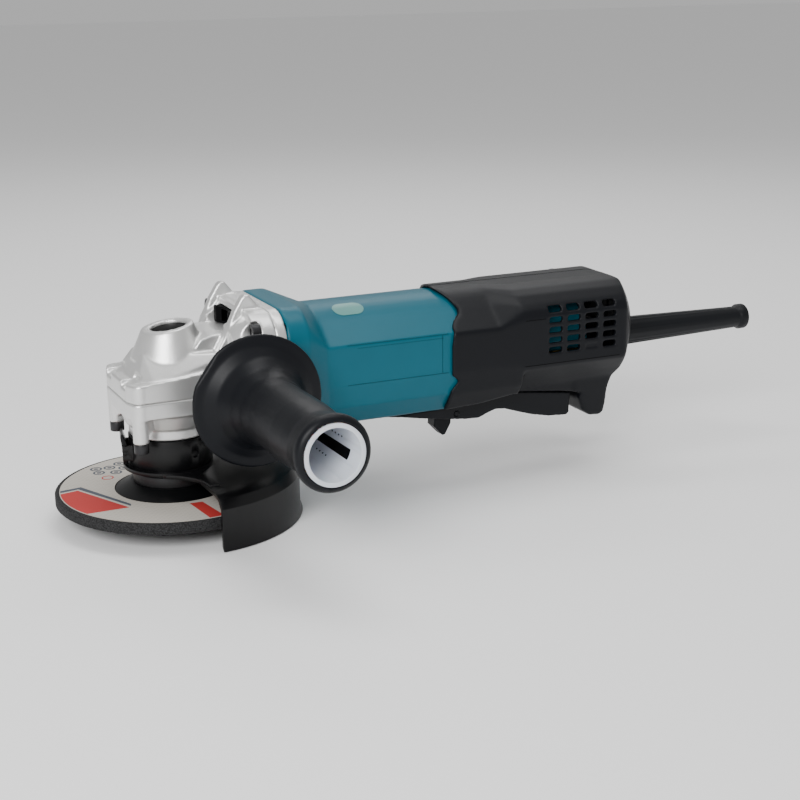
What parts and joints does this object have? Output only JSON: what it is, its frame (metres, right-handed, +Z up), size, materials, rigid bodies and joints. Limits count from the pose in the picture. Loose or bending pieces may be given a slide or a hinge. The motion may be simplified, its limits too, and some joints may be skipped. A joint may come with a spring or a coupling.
{
  "type": "angle grinder",
  "caption": "Corded angle grinder with an aluminium gear head, a paddle switch under its rear handle, a screwed-in side handle, a turning wheel guard and a grinding wheel.",
  "frame": {"origin": "on the spindle axis, in the plane of the grinding wheel's working face", "axes": "+X from the spindle towards the rear handle, +Y to the tool's right (the side handle is on -Y), +Z up along the spindle, away from the work"},
  "size_m": [0.4415, 0.226, 0.1228],
  "materials": {
    "cast_aluminium": "satin cast, slightly grainy",
    "black_steel": "black oxide",
    "steel": "machined",
    "bearing_steel": "polished",
    "bronze": "sintered bronze",
    "brass": "pressed sheet",
    "copper": "enamelled copper",
    "iron_core": "stacked sheets",
    "carbon": "pressed carbon",
    "abrasive": "coarse resin-bonded grain",
    "paper_label": "printed paper over glass-fibre mesh",
    "black_paint": "gloss black paint",
    "teal_plastic": "satin gloss",
    "black_plastic": "satin",
    "black_rubber": "satin",
    "white_plastic": "smooth",
    "red_plastic": "smooth",
    "blue_plastic": "potted",
    "ochre_plastic": "smooth",
    "green_label": "printed label"
  },
  "bodies": {
    "housing": {"gear_housing": "cast_aluminium", "gear_housing_screws": "black_steel", "bearing_plate": "cast_aluminium", "bearing_box": "cast_aluminium", "bearing_box_screws": "black_steel", "bearing_retainer": "steel", "spindle_bush": "bronze", "exhaust_baffle": "black_plastic", "spindle_bearing_outer": "bearing_steel", "front_bearing_outer": "bearing_steel", "rear_bearing_outer": "bearing_steel", "motor_housing": "teal_plastic", "air_baffle": "black_plastic", "stator_core": "iron_core", "field_coils": "copper", "brush_holders": "brass", "carbon_brushes": "carbon", "brush_springs": "steel", "bearing_sleeve": "black_rubber", "rear_handle_left": "black_plastic", "rear_handle_right": "black_plastic", "rear_handle_screws": "steel", "switch_body": "black_plastic", "speed_module": "blue_plastic", "capacitor": "ochre_plastic", "cord_guard": "black_rubber", "cord_clamp": "black_plastic", "cord_clamp_screws": "steel", "label_plate": "green_label", "paddle_pin": "steel", "side_handle_grip": "black_plastic", "side_handle_core": "white_plastic", "side_handle_stud": "steel", "lock_spring": "steel"},
    "spindle": {"spindle": "steel", "drive_gear": "steel", "inner_flange": "black_steel", "grinding_wheel": "abrasive", "wheel_label": "paper_label", "lock_nut": "steel", "spindle_bearing_inner": "bearing_steel"},
    "spindle_balls": {"spindle_bearing_balls": "bearing_steel"},
    "armature": {"armature_shaft": "steel", "armature_core": "iron_core", "armature_windings": "copper", "commutator": "copper", "cooling_fan": "white_plastic", "pinion_gear": "steel", "pinion_nut": "steel", "front_bearing_inner": "bearing_steel", "rear_bearing_inner": "bearing_steel"},
    "front_balls": {"front_bearing_balls": "bearing_steel"},
    "rear_balls": {"rear_bearing_balls": "bearing_steel"},
    "guard": {"guard_cover": "black_paint", "guard_collar": "black_paint"},
    "guard_latch": {"guard_lever": "black_paint"},
    "shaft_lock": {"lock_button": "black_plastic"},
    "paddle": {"switch_paddle": "black_plastic"},
    "lock_off": {"lock_off_lever": "black_plastic"},
    "plunger": {"switch_plunger": "red_plastic"}
  },
  "joints": [
    {"name": "spindle_spin", "type": "hinge", "parent": "housing", "child": "spindle", "pos_m": [0, 0, 0], "axis": [0, 0, 1], "continuous": true},
    {"name": "armature_spin", "type": "hinge", "parent": "housing", "child": "armature", "pos_m": [0, 0, 0.066], "axis": [1, 0, 0], "continuous": true},
    {"name": "spindle_balls_spin", "type": "hinge", "parent": "housing", "child": "spindle_balls", "pos_m": [0, 0, 0.035], "axis": [0, 0, 1], "continuous": true},
    {"name": "front_balls_spin", "type": "hinge", "parent": "housing", "child": "front_balls", "pos_m": [0.05, 0, 0.066], "axis": [1, 0, 0], "continuous": true},
    {"name": "rear_balls_spin", "type": "hinge", "parent": "housing", "child": "rear_balls", "pos_m": [0.1695, 0, 0.066], "axis": [1, 0, 0], "continuous": true},
    {"name": "guard_turn", "type": "hinge", "parent": "housing", "child": "guard", "pos_m": [0, 0, 0.028], "axis": [0, 0, 1], "range_deg": [-100, 100]},
    {"name": "guard_latch_press", "type": "hinge", "parent": "guard", "child": "guard_latch", "pos_m": [-0.02387, 0.00595, 0.028], "axis": [0.2419, 0.9703, 0], "range_deg": [0, 8], "stiffness_Nm_per_rad": 0.3, "springref_deg": -5.73},
    {"name": "shaft_lock_press", "type": "slide", "parent": "housing", "child": "shaft_lock", "axis": [0, 0, -1], "range_m": [0, 0.005], "stiffness_N_per_m": 600, "springref_m": -0.002, "deforming": ["lock_spring"]},
    {"name": "paddle_squeeze", "type": "hinge", "parent": "housing", "child": "paddle", "pos_m": [0.108, 0, 0.0364], "axis": [0, -1, 0], "range_deg": [0, 3.2], "stiffness_Nm_per_rad": 6, "springref_deg": -2.29},
    {"name": "lock_off_pull", "type": "hinge", "parent": "paddle", "child": "lock_off", "pos_m": [0.1646, 0, 0.0297], "axis": [0, -1, 0], "range_deg": [0, 35], "stiffness_Nm_per_rad": 0.05, "springref_deg": -17.19},
    {"name": "plunger_press", "type": "slide", "parent": "housing", "child": "plunger", "axis": [0, 0, 1], "range_m": [0, 0.0056]}
  ],
  "couplings": [
    {"joint": "armature_spin", "follows": "spindle_spin", "ratio": 3.1538},
    {"joint": "spindle_balls_spin", "follows": "spindle_spin", "ratio": 0.384},
    {"joint": "front_balls_spin", "follows": "spindle_spin", "ratio": 1.1704},
    {"joint": "rear_balls_spin", "follows": "spindle_spin", "ratio": 1.1502},
    {"joint": "plunger_press", "follows": "paddle_squeeze", "m_per_rad": 0.094}
  ]
}
